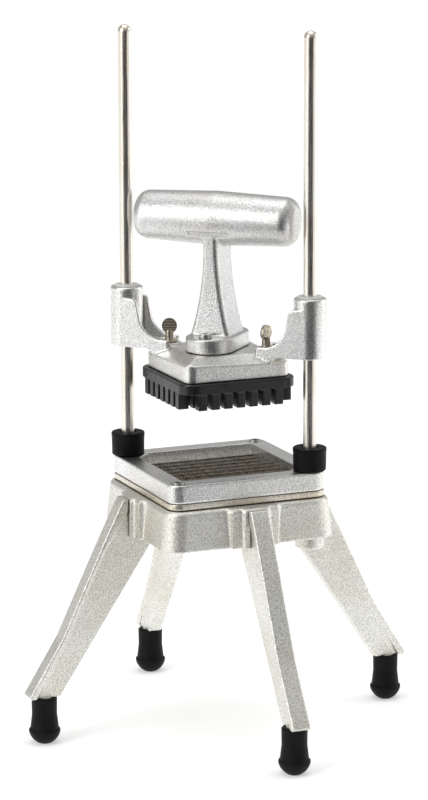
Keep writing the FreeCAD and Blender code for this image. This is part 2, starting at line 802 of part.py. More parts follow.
def pin_grooves(body, label, face, depth, along_x, up):
    """Two grooves for the pins that hold one layer's blade ends."""
    sketch = new_sketch(body, f"{label}Outline", "XY_Plane", face)
    half, reach = "pin_diameter / 2 + slot_clearance", "pin_half + 0.5"
    for side in (-1, 1):
        near, far = f"{side} * pin_place - ({half})", f"{side} * pin_place + ({half})"
        if along_x:
            rectangle(sketch, near, f"-({reach})", far, reach)
        else:
            rectangle(sketch, f"-({reach})", near, reach, far)
    return pocket(body, label, sketch, depth, reverse=up)


slot_width = "blade_thickness + 2 * slot_clearance"
frame = frame_body("BladeFrame", "frame_bottom", "frame_thickness")
under_frame = "frame_bottom"
blade_slots(frame, "UpperBladeSlots", under_frame, "upper_blade_top + slot_clearance - frame_bottom",
            True, slot_width, True)
blade_slots(frame, "LowerBladeSlots", under_frame, "lower_blade_top + slot_clearance - frame_bottom",
            False, slot_width, True)
pin_middle_upper = "(upper_blade_top + upper_blade_bottom) / 2"
pin_middle_lower = "(lower_blade_top + lower_blade_bottom) / 2"
pin_grooves(frame, "UpperPinGrooves", under_frame,
            f"{pin_middle_upper} + pin_diameter / 2 + slot_clearance - frame_bottom", True, True)
pin_grooves(frame, "LowerPinGrooves", under_frame,
            f"{pin_middle_lower} + pin_diameter / 2 + slot_clearance - frame_bottom", False, True)


def outer_rim(height):
    """A test for the outer edges of the frame at one height."""
    at_height = level(height)

    def test(edge, middle):
        reach = value("frame_half")
        corner = value("frame_half - 0.3 * frame_corner")
        return at_height(edge, middle) and (max(abs(middle.x), abs(middle.y)) > reach - 0.01
                                            or min(abs(middle.x), abs(middle.y)) > corner - 0.2)
    return test


recesses = new_sketch(frame, "ScrewRecessOutline", "XY_Plane", "frame_top")
for side in (-1, 1):
    ring(recesses, f"{side} * frame_screw_place", f"{side} * frame_screw_place",
         "screw_head_diameter / 2 + 0.35")
made = pocket(frame, "ScrewRecesses", recesses, "screw_head_height - 0.8")
made = fillet(frame, "FrameTopRound", made, "1.2", outer_rim("frame_top"))
chamfer(frame, "FrameSeam", made, "seam_chamfer", outer_rim("frame_bottom"))
node(frame, "blade_frame")

plate = frame_body("FramePlate", "base_top", "plate_thickness")
made = blade_slots(plate, "PlateBladeSlots", "plate_top",
                   "plate_top - lower_blade_bottom + slot_clearance", False, slot_width, False)
chamfer(plate, "PlateSeam", made, "seam_chamfer", outer_rim("base_top"))
node(plate, "blade_frame_plate")

frame_screws = []
for side in (-1, 1):
    screw = socket_screw(f"FrameScrew_{side + 1}", "24")
    frame_screws.append(bind(screw, x=f"{side} * frame_screw_place", y=f"{side} * frame_screw_place",
                             z="frame_top - screw_head_height + 0.8"))
node(group("FrameScrews", frame_screws), "blade_frame_screws")

# ------------------------------------------------------------ blades and their pins


def blade_layer(label, along_x, bottom):
    """Eight strips with a pin hole near each end."""
    strips = []
    for index in range(8):
        place = f"({index} - 3.5) * cell_pitch"
        size = ("2 * blade_half", "blade_thickness") if along_x else ("blade_thickness", "2 * blade_half")
        spot = ("0", place) if along_x else (place, "0")
        strip = centred_box(f"{label}Strip_{index}", *size, "blade_height", *spot, bottom)
        bores = []
        for side in (-1, 1):
            bore = cylinder(f"{label}Bore_{index}_{side + 1}", "pin_diameter / 2 + 0.05", "4")
            turn(bore, X_AXIS if along_x else Y_AXIS, 90)
            middle = f"({bottom}) + blade_height / 2"
            if along_x:
                bind(bore, x=f"{side} * pin_place", y=f"{place} + 2", z=middle)
            else:
                bind(bore, x=f"{place} - 2", y=f"{side} * pin_place", z=middle)
            bores.append(bore)
        strips.append(cut(f"{label}_{index}", strip, fuse(f"{label}Bores_{index}", bores)))
    return group(label, strips)


node(blade_layer("BladesAcross", True, "upper_blade_bottom"), "blades_across")
node(blade_layer("BladesAlong", False, "lower_blade_bottom"), "blades_along")

pins = []
for side in (-1, 1):
    upper = cylinder(f"UpperPin_{side + 1}", "pin_diameter / 2", "2 * pin_half")
    turn(upper, X_AXIS, 90)
    pins.append(bind(upper, x=f"{side} * pin_place", y="pin_half", z=pin_middle_upper))
    lower = cylinder(f"LowerPin_{side + 1}", "pin_diameter / 2", "2 * pin_half")
    turn(lower, Y_AXIS, 90)
    pins.append(bind(lower, x="-pin_half", y=f"{side} * pin_place", z=pin_middle_lower))
node(group("BladePins", pins), "blade_pins")

# ------------------------------------------------------------ sliding head

# the head, its bushings, the handle and the thumb screws are drawn with X
# along the rods' diagonal and turned into place

head = new_body("HeadCasting")
half_diagonal = "head_width / sqrt(2)"
slab = outline(new_sketch(head, "HeadOutline", "XY_Plane", "block_bottom"), [
    ("0", f"-({half_diagonal})"), (half_diagonal, "0"), ("0", half_diagonal), (f"-({half_diagonal})", "0")])
made = pad(head, "HeadSlab", slab, "head_side_height")
made = fillet(head, "HeadCorners", made, "head_corner", upright)

# the top slopes down to each side, and each side's rim falls a little towards its arm
for label, angle, fall in (("RightFront", -45, -1), ("LeftFront", -135, 1),
                           ("LeftRear", 135, -1), ("RightRear", 45, 1)):
    slope = new_sketch(head, f"Roof{label}Outline", "XZ_Plane", raised="head_seat",
                       turned=angle, tilted=fall * value("roof_tilt"))
    outline(slope, [("roof_start", "0"), ("head_width / 2", "-roof_drop"),
                    ("head_width / 2 + 2", "-roof_drop"), ("head_width / 2 + 2", "3"), ("roof_start", "3")])
    made = pocket(head, f"Roof{label}", slope, "3 * head_width", symmetric=True)


def slab_top(edge, middle):
    """The top rim of the slab."""
    along = abs(middle.x) + abs(middle.y)
    return (middle.z > value("head_seat - roof_drop - 3") and along > value(half_diagonal) - 3.6
            and not upright(edge, middle))


made = fillet(head, "HeadTopRound", made, "1.5", slab_top)

# arms: two walls and a floor from the slab to each boss
arms = new_sketch(head, "ArmOutline", "XZ_Plane")
for side in (-1, 1):
    outline(arms, [
        (f"{side} * arm_start", "head_bottom - arm_arch_drop"),
        (f"{side} * arm_arch_start", "head_bottom - arm_arch_drop", f"-({side}) * arm_arch_radius"),
        (f"{side} * (arm_arch_start + arm_arch_radius)", "head_bottom"),
        (f"{side} * rod_place", "head_bottom"),
        (f"{side} * rod_place", "head_bottom + arm_top_height"),
        (f"{side} * (arm_throat + 2.2 + arm_shoulder)", "head_bottom + arm_top_height",
         f"{side} * arm_shoulder"),
        (f"{side} * (arm_throat + 2.2)", "head_bottom + arm_top_height - arm_shoulder"),
        (f"{side} * arm_throat", "head_bottom + arm_curve_height", f"-({side}) * arm_curve_radius"),
        (f"{side} * arm_curve_foot", "head_bottom + arm_inner_height"),
        (f"{side} * arm_start", "head_bottom + arm_inner_height")])
made = pad(head, "Arms", arms, "boss_diameter", symmetric=True)
troughs = new_sketch(head, "TroughOutline", "XY_Plane", "boss_top")
for side in (-1, 1):
    rectangle(troughs, f"{side} * (arm_start - 2)", "-(boss_diameter / 2 - arm_wall)",
              f"{side} * (rod_place - 4)", "boss_diameter / 2 - arm_wall")
pocket(head, "Troughs", troughs, "boss_top - arm_floor_top")
rounds = new_sketch(head, "BossOutline", "XY_Plane", "head_bottom")
for side in (-1, 1):
    ring(rounds, f"{side} * rod_place", "0", "boss_diameter / 2")
made = pad(head, "Bosses", rounds, "boss_height - bushing_flange")
fillet(head, "BossTopRound", made, "boss_round", level("boss_top - bushing_flange"))
seats = new_sketch(head, "ThumbSeatOutline", "XY_Plane", "arm_floor_top")
for side in (-1, 1):
    ring(seats, f"{side} * thumb_place", "0", "thumb_seat_diameter / 2")
made = pad(head, "ThumbSeats", seats, "arm_floor_top - block_bottom - 2", reverse=True)

holes = new_sketch(head, "ThumbHoleOutline", "XY_Plane", "arm_floor_top")
bores = new_sketch(head, "BushingBoreOutline", "XY_Plane", "boss_top")
taps = new_sketch(head, "HandleHoleOutline", "XY_Plane", "head_seat")
for side in (-1, 1):
    ring(holes, f"{side} * thumb_place", "0", "thumb_shank_diameter / 2 + thumb_hole_clearance")
    ring(bores, f"{side} * rod_place", "0", "bushing_diameter / 2")
    ring(taps, "0", f"{side} * ear_place", "screw_diameter / 2 + thread_clearance / 2")
pocket(head, "ThumbHoles", holes, "arm_floor_top - block_bottom + 1")
pocket(head, "BushingBores", bores, "boss_height + 2")
pocket(head, "HandleHoles", taps, "handle_screw_length - foot_height + ear_recess + 1")
head.Placement = FreeCAD.Placement(V(0, 0, 0), DIAGONAL)
node(head, "head_casting")

for name, side in SIDES:
    upper = new_body(f"UpperBushing_{name}")
    bore = "rod_radius + bushing_clearance"
    rim = outline(new_sketch(upper, f"UpperBushingProfile_{name}", "XZ_Plane"), [
        (bore, "-bushing_length"), ("bushing_diameter / 2", "-bushing_length"),
        ("bushing_diameter / 2", "0"), ("bushing_flange_diameter / 2", "0"),
        ("bushing_flange_diameter / 2", "bushing_flange"), (bore, "bushing_flange")])
    revolve(upper, f"UpperBushingRing_{name}", rim)
    node(on_diagonal(upper, side, "boss_top - bushing_flange"), f"upper_bushing_{name}")
    lower = new_body(f"LowerBushing_{name}")
    tube = rectangle(new_sketch(lower, f"LowerBushingProfile_{name}", "XZ_Plane"),
                     bore, "0", "bushing_diameter / 2", "bushing_length")
    revolve(lower, f"LowerBushingRing_{name}", tube)
    node(on_diagonal(lower, side, "head_bottom + bushing_inset"), f"lower_bushing_{name}")

# ------------------------------------------------------------ T-handle

handle = new_body("Handle")
bar = new_sketch(handle, "BarProfile", "XZ_Plane", "0", "bar_axis")
end, shoulder = "bar_length / 2", "bar_length / 2 - bar_end_radius"
end_radius = "bar_end_diameter / 2"
outline(bar, [
    (end, "0"), (end, f"{end_radius} - bar_end_radius", "bar_end_radius"), (shoulder, end_radius),
    ("0", "bar_middle_diameter / 2"), (f"-({shoulder})", end_radius, "bar_end_radius"),
    (f"-({end})", f"{end_radius} - bar_end_radius"), (f"-({end})", "0")])
revolve(handle, "Bar", bar, "H_Axis")

stalk_top = "bar_axis - 8"
stalk_foot = "foot_top - 2"


def flared(sketch, top_half, bottom_half, radius):
    """An outline whose two sides curve outwards towards the foot."""
    return outline(sketch, [
        (f"-({bottom_half})", stalk_foot), (bottom_half, stalk_foot, f"-({radius})"),
        (top_half, stalk_top), (f"-({top_half})", stalk_top, f"-({radius})")])


front = flared(new_sketch(handle, "StalkFront", "XZ_Plane"), "stalk_top_width / 2",
               "stalk_bottom_width / 2", "stalk_width_radius")
made = pad(handle, "Stalk", front, "stalk_bottom_depth + 6", symmetric=True)
cheeks = new_sketch(handle, "StalkCheeks", "YZ_Plane")
for side in (-1, 1):
    outline(cheeks, [
        (f"{side} * stalk_bottom_depth / 2", stalk_foot, f"{-side} * stalk_depth_radius"),
        (f"{side} * stalk_top_depth / 2", stalk_top),
        (f"{side} * (stalk_bottom_depth / 2 + 4)", stalk_top),
        (f"{side} * (stalk_bottom_depth / 2 + 4)", stalk_foot)])
cheeks_cut = pocket(handle, "StalkSides", cheeks, "stalk_bottom_width - 0.01", symmetric=True)


def stalk_edges(edge, middle):
    """The four long edges of the stalk."""
    return (upright(edge, middle) and edge.Length > 20 and abs(middle.x) > 2 and abs(middle.y) > 5
            and middle.z < value(stalk_top))


made = fillet(handle, "StalkCorners", cheeks_cut, "stalk_corner", stalk_edges)


def stalk_root(edge, middle):
    """The edges where the stalk runs into the bar."""
    return (middle.z > value("bar_axis - bar_middle_diameter / 2 - 1") and middle.z < value(stalk_top)
            and abs(middle.x) < value("stalk_top_width / 2 + 2")
            and abs(middle.y) < value("stalk_top_depth / 2 + 1") and not upright(edge, middle))


fillet(handle, "StalkRoot", made, "root_radius", stalk_root)

# the foot flange is round at both ends, where the screws go
oval = new_sketch(handle, "FootOutline", "XY_Plane", "head_seat")
side_x, end_y, tip_y = "foot_end_radius", "foot_end_place", "(foot_end_place + foot_end_radius)"
outline(oval, [
    (side_x, f"-{end_y}"), (side_x, end_y, "foot_end_radius"), ("0", tip_y, "foot_end_radius"),
    (f"-{side_x}", end_y), (f"-{side_x}", f"-{end_y}", "foot_end_radius"),
    ("0", f"-{tip_y}", "foot_end_radius")])
made = pad(handle, "FootFlange", oval, "foot_height")


def foot_rim(edge, middle):
    """The top rim of the foot flange."""
    return level("foot_top")(edge, middle) and (abs(middle.x) > value("foot_end_radius") - 0.1
                                                or abs(middle.y) > value("foot_end_place") + 5)


fillet(handle, "FootRound", made, "foot_round", foot_rim)
holes = new_sketch(handle, "EarHoleOutline", "XY_Plane", "foot_top")
recesses = new_sketch(handle, "EarRecessOutline", "XY_Plane", "foot_top")
for side in (-1, 1):
    ring(holes, "0", f"{side} * ear_place", "screw_diameter / 2 + screw_hole_clearance / 2")
    ring(recesses, "0", f"{side} * ear_place", "screw_head_diameter / 2 + 0.3")
pocket(handle, "EarHoles", holes, "foot_height")
made = pocket(handle, "EarRecesses", recesses, "ear_recess")
handle.Placement = FreeCAD.Placement(V(0, 0, 0), DIAGONAL)
node(handle, "handle")

handle_screws = []
for side in (-1, 1):
    screw = socket_screw(f"HandleScrew_{side + 1}", "handle_screw_length")
    handle_screws.append(bind(screw, x=f"{side} * ear_place / sqrt(2)", y=f"{side} * ear_place / sqrt(2)",
                              z="screw_seat"))
node(group("HandleScrews", handle_screws), "handle_screws")

# ------------------------------------------------------------ pusher block

pusher = new_body("PusherBlock")
slab = square(new_sketch(pusher, "PusherPlateOutline", "XY_Plane", "plate_under"), "pusher_plate_width / 2")
made = pad(pusher, "PusherPlate", slab, "pusher_plate_thickness")
made = fillet(pusher, "PusherPlateCorners", made, "pusher_plate_corner", upright)
made = fillet(pusher, "PusherPlateRim", made, "1.0", level("plate_under + pusher_plate_thickness"))
whole, inner = "finger_half", "corner_cell"
fingers = outline(new_sketch(pusher, "FingerOutline", "XY_Plane", "plate_under"), [
    (f"-({inner})", f"-({whole})"), (inner, f"-({whole})"), (inner, f"-({inner})"), (whole, f"-({inner})"),
    (whole, inner), (inner, inner), (inner, whole), (f"-({inner})", whole),
    (f"-({inner})", inner), (f"-({whole})", inner), (f"-({whole})", f"-({inner})"),
    (f"-({inner})", f"-({inner})")])
pad(pusher, "FingerBlock", fingers, "finger_length", reverse=True)
for label, along_x in (("SlotsAcross", True), ("SlotsAlong", False)):
    sketch = new_sketch(pusher, f"{label}Outline", "XY_Plane", "finger_bottom")
    far, near, wide = "finger_half + 1", "-3.5 * cell_pitch", "finger_slot / 2"
    if along_x:
        rectangle(sketch, f"-({far})", f"{near} - {wide}", far, f"{near} + {wide}")
    else:
        rectangle(sketch, f"{near} - {wide}", f"-({far})", f"{near} + {wide}", far)
    slot = pocket(pusher, label, sketch, "finger_length", reverse=True)
    pattern = pusher.newObject("PartDesign::LinearPattern", f"{label}Pattern")
    pattern.Originals = [slot]
    pattern.Direction = (sketch, ["V_Axis" if along_x else "H_Axis"])
    bind(pattern, Length="7 * cell_pitch")
    pattern.Occurrences = 8
    pusher.Tip = pattern
    doc.recompute()
wells = new_sketch(pusher, "InsertWellOutline", "XY_Plane", "block_bottom")
for side in (-1, 1):
    ring(wells, f"{side} * thumb_place / sqrt(2)", f"-({side}) * thumb_place / sqrt(2)",
         "insert_diameter / 2")
pocket(pusher, "InsertWells", wells, "insert_length")
node(pusher, "pusher_block")

inserts = []
for name, side in SIDES:
    sleeve = cut(f"Insert_{name}",
                 cylinder(f"InsertOutside_{name}", "insert_diameter / 2", "insert_length"),
                 cylinder(f"InsertBore_{name}", "thumb_shank_diameter / 2 + thumb_bore_clearance",
                          "insert_length"))
    inserts.append(bind(sleeve, x=f"{side} * thumb_place / sqrt(2)", y=f"-({side}) * thumb_place / sqrt(2)",
                        z="block_bottom - insert_length"))
node(group("PusherInserts", inserts), "pusher_inserts")

# ------------------------------------------------------------ thumb screws

for name, side in SIDES:
    screw = new_body(f"ThumbScrew_{name}")
    shank, neck = "thumb_shank_diameter / 2", "thumb_neck_diameter / 2"
    collar = "thumb_collar_diameter / 2"
    profile = outline(new_sketch(screw, f"ThumbScrewProfile_{name}", "XZ_Plane"), [
        ("0", "thumb_tip"), (f"{shank} - 0.8", "thumb_tip"), (shank, "thumb_tip + 0.8"),
        (shank, "thumb_seat"), (f"{collar} - 0.2", "thumb_seat"), (collar, "thumb_seat + 0.4"),
        (collar, "collar_top - 0.3"), (f"{collar} - 0.5", "collar_top"), (neck, "collar_top + 0.5"),
        (f"{neck} - 0.3", "spade_axis - 3"), ("0", "spade_axis - 3")])
    revolve(screw, f"ThumbScrewStem_{name}", profile)
    disc = ring(new_sketch(screw, f"SpadeOutline_{name}", "XZ_Plane"), "0", "spade_axis",
                "thumb_spade_diameter / 2")
    made = pad(screw, f"Spade_{name}", disc, "thumb_spade_thickness", symmetric=True)
    for index in range(-2, 3):
        for face in (-1, 1):
            place = f"{index} * thumb_ridge_pitch"
            groove = new_sketch(screw, f"Groove_{index + 2}_{face + 1}_{name}", "YZ_Plane")
            deep = f"{face} * (thumb_spade_thickness / 2 - thumb_ridge_depth)"
            out = f"{face} * (thumb_spade_thickness / 2 + 0.2)"
            outline(groove, [(deep, f"spade_axis + {place}"),
                             (out, f"spade_axis + {place} - 0.65"), (out, f"spade_axis + {place} + 0.65")])
            pocket(screw, f"Ridge_{index + 2}_{face + 1}_{name}", groove, "thumb_spade_diameter + 2",
                   symmetric=True)
    turn_angle = value("left_spade_turn") if side < 0 else value("right_spade_turn")
    screw.Placement = FreeCAD.Placement(V(0, 0, 0), FreeCAD.Rotation(Z_AXIS, turn_angle - 45))
    bind(screw, x=f"{side} * thumb_place / sqrt(2)", y=f"-({side}) * thumb_place / sqrt(2)")
    node(screw, f"thumb_screw_{name}")

# ------------------------------------------------------------ check and write

doc.recompute()
for obj in doc.Objects:
    if "Invalid" in obj.State or "Error" in obj.State:
        raise RuntimeError(f"{obj.Label} did not build: {obj.State}")
os.makedirs("parts", exist_ok=True)
for obj in NODES:
    if obj.Shape.isNull() or not obj.Shape.isValid() or not obj.Shape.Solids:
        raise RuntimeError(f"{obj.Label} has no valid solid")
for obj in NODES:
    obj.Shape.exportStep(f"parts/{obj.Label}.step")
print(len(NODES), "sub-parts written")
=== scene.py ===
import json
import math
import bpy
from mathutils import Matrix, Vector

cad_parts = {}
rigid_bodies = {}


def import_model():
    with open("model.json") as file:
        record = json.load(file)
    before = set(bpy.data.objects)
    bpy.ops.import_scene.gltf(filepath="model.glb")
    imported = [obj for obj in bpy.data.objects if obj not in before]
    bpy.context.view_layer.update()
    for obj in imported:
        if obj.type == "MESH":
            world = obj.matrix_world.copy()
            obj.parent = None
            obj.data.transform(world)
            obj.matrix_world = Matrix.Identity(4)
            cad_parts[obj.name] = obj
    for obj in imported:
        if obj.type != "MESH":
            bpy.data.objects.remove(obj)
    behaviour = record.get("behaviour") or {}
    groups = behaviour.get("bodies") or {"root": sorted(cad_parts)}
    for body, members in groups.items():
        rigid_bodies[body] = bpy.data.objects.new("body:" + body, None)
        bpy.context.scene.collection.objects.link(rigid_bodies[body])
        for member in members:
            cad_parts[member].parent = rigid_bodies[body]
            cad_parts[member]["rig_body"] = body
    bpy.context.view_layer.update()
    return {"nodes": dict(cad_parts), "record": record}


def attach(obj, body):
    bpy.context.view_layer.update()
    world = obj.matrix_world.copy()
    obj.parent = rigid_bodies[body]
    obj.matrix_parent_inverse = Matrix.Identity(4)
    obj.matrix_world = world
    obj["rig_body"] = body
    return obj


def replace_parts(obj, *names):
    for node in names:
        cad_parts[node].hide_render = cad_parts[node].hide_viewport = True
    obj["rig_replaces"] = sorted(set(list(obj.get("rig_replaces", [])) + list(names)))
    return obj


# The looks of a hand-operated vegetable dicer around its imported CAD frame.
# Metres, +Z up, the floor at z = 0, the front of the dicer towards -Y.

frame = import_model()
nodes = frame["nodes"]

MM = 0.001

# ------------------------------------------------------------------ camera

CAMERA_AZIMUTH = -22.761          # degrees, 0 towards -Y
CAMERA_ELEVATION = 11.922         # degrees
CAMERA_ROLL = -0.200              # degrees
CAMERA_DISTANCE = 2.23133
CAMERA_LENS = 142.39              # millimetres, for the sensor height below
CAMERA_SENSOR = 36
CAMERA_REACH = 50
CAMERA_TARGET = Vector((-0.002381, 0.000999, 0.234856))


def make_camera():
    azimuth, elevation = math.radians(CAMERA_AZIMUTH), math.radians(CAMERA_ELEVATION)
    back = Vector((math.sin(azimuth) * math.cos(elevation),
                   -math.cos(azimuth) * math.cos(elevation), math.sin(elevation)))
    data = bpy.data.cameras.new("Camera")
    data.sensor_fit = "VERTICAL"
    data.sensor_height = CAMERA_SENSOR
    data.lens = CAMERA_LENS
    data.clip_end = CAMERA_REACH
    camera = bpy.data.objects.new("Camera", data)
    bpy.context.scene.collection.objects.link(camera)
    turn = back.to_track_quat("Z", "Y").to_matrix().to_4x4()
    roll = Matrix.Rotation(math.radians(CAMERA_ROLL), 4, "Z")
    camera.matrix_world = Matrix.Translation(CAMERA_TARGET + back * CAMERA_DISTANCE) @ turn @ roll
    bpy.context.scene.camera = camera


# ------------------------------------------------------------------ light and floor

WORLD_LIGHT = 0.45                # strength of the white surround as it lights the object
LIGHTS_AIM = (0, 0, 0.25)
LIGHTS = (                        # name, place, width, height, watts
    ("KeyLeft", (-2.3, -0.7, 1.3), 1.2, 1.8, 26),
    ("FillRight", (2.2, -0.2, 1.0), 1.0, 1.8, 11),
    ("TopSoft", (0.1, 0.2, 2.4), 1.8, 1.8, 17),
)
FLOOR_HALF = 12
GLOW_START, GLOW_END = 0.6, 6.0   # distances between which the floor's painted glow grows stronger
GLOW_NEAR, GLOW_FAR = 0.36, 0.80
CARD_FROM, CARD_TO = -68, 22      # degrees of azimuth, 0 towards -Y
CARD_NEAR, CARD_RADIUS = 0.42, 3.0
CARD_FLOAT, CARD_TOP = 0.003, 1.5
CARD_STEPS = 12


def area_light(name, place, width, height, watts):
    data = bpy.data.lights.new(name, "AREA")
    data.shape = "RECTANGLE"
    data.size, data.size_y = width, height
    data.energy = watts
    light = bpy.data.objects.new(name, data)
    bpy.context.scene.collection.objects.link(light)
    direction = Vector(place) - Vector(LIGHTS_AIM)
    light.matrix_world = (Matrix.Translation(Vector(place))
                          @ direction.to_track_quat("Z", "Y").to_matrix().to_4x4())


def map_range(tree, value, from_min, from_max, to_min, to_max):
    """Maps a value from one range to another."""
    node = tree.nodes.new("ShaderNodeMapRange")
    tree.links.new(value, node.inputs["Value"])
    for name, number in (("From Min", from_min), ("From Max", from_max),
                         ("To Min", to_min), ("To Max", to_max)):
        node.inputs[name].default_value = number
    return node.outputs["Result"]


def make_surround():
    """White where the lens sees it, and a softer grey as the light that falls on the object."""
    scene = bpy.context.scene
    scene.view_settings.view_transform = "Standard"
    scene.view_settings.look = "None"
    scene.world = bpy.data.worlds.new("Studio")
    scene.world.use_nodes = True
    tree = scene.world.node_tree
    background = tree.nodes["Background"]
    background.inputs["Color"].default_value = (1, 1, 1, 1)
    seen = tree.nodes.new("ShaderNodeLightPath").outputs["Is Camera Ray"]
    tree.links.new(map_range(tree, seen, 0, 1, WORLD_LIGHT, 1), background.inputs["Strength"])


def stage_mesh(name, points, faces, material_name, look):
    """A plain mesh of the studio with one material, whose shader gets the look's values."""
    mesh = bpy.data.meshes.new(name)
    mesh.from_pydata(points, [], faces)
    piece = bpy.data.objects.new(name, mesh)
    bpy.context.scene.collection.objects.link(piece)
    material = bpy.data.materials.new(material_name)
    material.use_nodes = True
    shader = material.node_tree.nodes["Principled BSDF"]
    for socket, value in look.items():
        shader.inputs[socket].default_value = value
    mesh.materials.append(material)
    return piece, material.node_tree, shader


def make_floor():
    """White paper with painted light: its emission grows stronger with distance, standing in for
    the pool of a wide studio light.
    """
    corners = [(-FLOOR_HALF, -FLOOR_HALF, 0), (FLOOR_HALF, -FLOOR_HALF, 0),
               (FLOOR_HALF, FLOOR_HALF, 0), (-FLOOR_HALF, FLOOR_HALF, 0)]
    look = {"Base Color": (0.9, 0.9, 0.9, 1), "Roughness": 0.9, "Specular IOR Level": 0.1,
            "Emission Color": (1, 1, 1, 1)}
    _, tree, shader = stage_mesh("Floor", corners, [(0, 1, 2, 3)], "FloorPaper", look)
    distance = tree.nodes.new("ShaderNodeVectorMath")
    distance.operation = "LENGTH"
    tree.links.new(tree.nodes.new("ShaderNodeTexCoord").outputs["Object"], distance.inputs[0])
    glow = map_range(tree, distance.outputs["Value"], GLOW_START, GLOW_END, GLOW_NEAR, GLOW_FAR)
    tree.links.new(glow, shader.inputs["Emission Strength"])


def make_dark_card():
    """A card in front and behind the camera that shows only in metal turned to it."""
    rows = ((CARD_NEAR, CARD_FLOAT), (CARD_RADIUS, CARD_FLOAT), (CARD_RADIUS, CARD_TOP))
    points, faces = [], []
    for step in range(CARD_STEPS + 1):
        angle = math.radians(CARD_FROM + (CARD_TO - CARD_FROM) * step / CARD_STEPS)
        points += [(math.sin(angle) * reach, -math.cos(angle) * reach, height)
                   for reach, height in rows]
        if step:
            last = len(points) - 1
            for corner in (last, last - 1):
                faces.append((corner, corner - 1, corner - 1 - len(rows), corner - len(rows)))
    look = {"Base Color": (0.05, 0.05, 0.055, 1), "Specular IOR Level": 0.0}
    card, _, _ = stage_mesh("DarkCard", points, faces, "DarkCard", look)
    card.visible_camera = False
    card.visible_diffuse = False
    card.visible_shadow = False


# ------------------------------------------------------------------ materials


class Graph:
    """A material's node tree, with short calls to add and join nodes."""

    def __init__(self, name):
        self.material = bpy.data.materials.new(name)
        self.material.use_nodes = True
        self.tree = self.material.node_tree
        self.shader = self.tree.nodes["Principled BSDF"]
        self.place = self.tree.nodes.new("ShaderNodeTexCoord").outputs["Object"]

    def set(self, **values):
        for name, value in values.items():
            self.shader.inputs[name.replace("_", " ")].default_value = value

    def feed(self, socket, value):
        """Links a socket to another, or gives it a number or vector of its own."""
        if isinstance(value, bpy.types.NodeSocket):
            self.tree.links.new(value, socket)
        else:
            socket.default_value = value

    def add(self, kind, **inputs):
        node = self.tree.nodes.new("ShaderNode" + kind)
        for name, value in inputs.items():
            self.feed(node.inputs[name], value)
        return node

    def noise(self, size_mm, detail=2.0, rough=0.5, vector=None):
        """Noise whose features are about size_mm across."""
        node = self.add("TexNoise", Scale=1 / (size_mm * MM), Detail=detail, Roughness=rough,
                        Vector=vector or self.place)
        return node.outputs["Fac"]

    def stretched(self, x, y, z):
        return self.add("Mapping", Vector=self.place, Scale=(x, y, z)).outputs["Vector"]

    def ramp(self, value, *stops):
        """Maps a value through (position, colour) stops."""
        node = self.tree.nodes.new("ShaderNodeValToRGB")
        self.tree.links.new(value, node.inputs["Fac"])
        elements = node.color_ramp.elements
        while len(elements) < len(stops):
            elements.new(0.5)
        for element, (position, colour) in zip(elements, stops):
            element.position = position
            element.color = (*colour, 1)
        return node.outputs["Color"]

    def grey(self, value, low, high, start=0.0, end=1.0):
        """Maps a value from start..end to low..high."""
        return map_range(self.tree, value, start, end, low, high)

    def times(self, value, factor):
        node = self.tree.nodes.new("ShaderNodeMath")
        node.operation = "MULTIPLY"
        self.feed(node.inputs[0], value)
        self.feed(node.inputs[1], factor)
        return node.outputs["Value"]

    def blend(self, how, factor, a, b):
        """Mixes two colours."""
        node = self.tree.nodes.new("ShaderNodeMix")
        node.data_type = "RGBA"
        node.blend_type = how
        sockets = {socket.identifier: socket for socket in node.inputs}
        self.feed(sockets["Factor_Float"], factor)
        for name, colour in (("A_Color", a), ("B_Color", b)):
            self.feed(sockets[name], (*colour, 1) if isinstance(colour, tuple) else colour)
        return [socket for socket in node.outputs if socket.identifier == "Result_Color"][0]

    def link(self, output, name):
        self.tree.links.new(output, self.shader.inputs[name])

    def bump(self, height, distance_mm, strength, under=None):
        node = self.add("Bump", Strength=strength, Distance=distance_mm * MM, Height=height)
        if under is not None:
            self.tree.links.new(under, node.inputs["Normal"])
        return node.outputs["Normal"]


# painted shade: ambient occlusion darkens the colour in seams and corners
PAINTED_SHADE_REACH_MM = 2.4
PAINTED_SHADE_COLOUR = (0.10, 0.095, 0.08)
PAINTED_SHADE_SAMPLES = 6


def painted_crevice_shade(g, colour):
    """Paints shade into a colour: darkens it in seams and corners where ambient occlusion finds
    nearby surfaces.
    """
    shade = g.add("AmbientOcclusion", Distance=PAINTED_SHADE_REACH_MM * MM)
    shade.samples = PAINTED_SHADE_SAMPLES
    shade_amount = g.grey(shade.outputs["AO"], 0.85, 0.0, 0.30, 0.78)
    return g.blend("MIX", shade_amount, colour, PAINTED_SHADE_COLOUR)


def flat_grey(level):
    return (level, level, level)


def cast_aluminium(name, light, warm, roughness=0.30, grain=1.0):
    """Blasted casting: fine pebbled skin, large soft warm stains and bright rubbed edges."""
    g = Graph(name)
    g.set(Metallic=1.0)
    patches = g.noise(45, detail=3, rough=0.6)
    pebbles = g.noise(1.0, detail=2, rough=0.6)
    colour = g.ramp(patches, (0.36, light), (0.62, warm))
    speckle = g.ramp(pebbles, (0.34, flat_grey(0.62)), (0.50, flat_grey(0.96)),
                     (0.66, flat_grey(1.18)))
    colour = g.blend("MULTIPLY", 0.9, colour, speckle)
    edges = g.add("NewGeometry").outputs["Pointiness"]
    rubbed = g.grey(edges, 0.0, 1.0, 0.53, 0.60)
    colour = g.blend("MIX", g.times(rubbed, 0.6), colour, flat_grey(0.96))
    # painted shade in seams and corners, from ambient occlusion
    g.link(painted_crevice_shade(g, colour), "Base Color")
    g.link(g.grey(patches, roughness - 0.03, roughness + 0.05, 0.3, 0.7), "Roughness")
    coarse = g.bump(g.noise(14, detail=2), 0.25 * grain, 0.35)
    g.link(g.bump(pebbles, 0.30 * grain, 0.8, coarse), "Normal")
    return g.material


WARM_PATCH_TINT = (0.97, 0.93, 0.86)


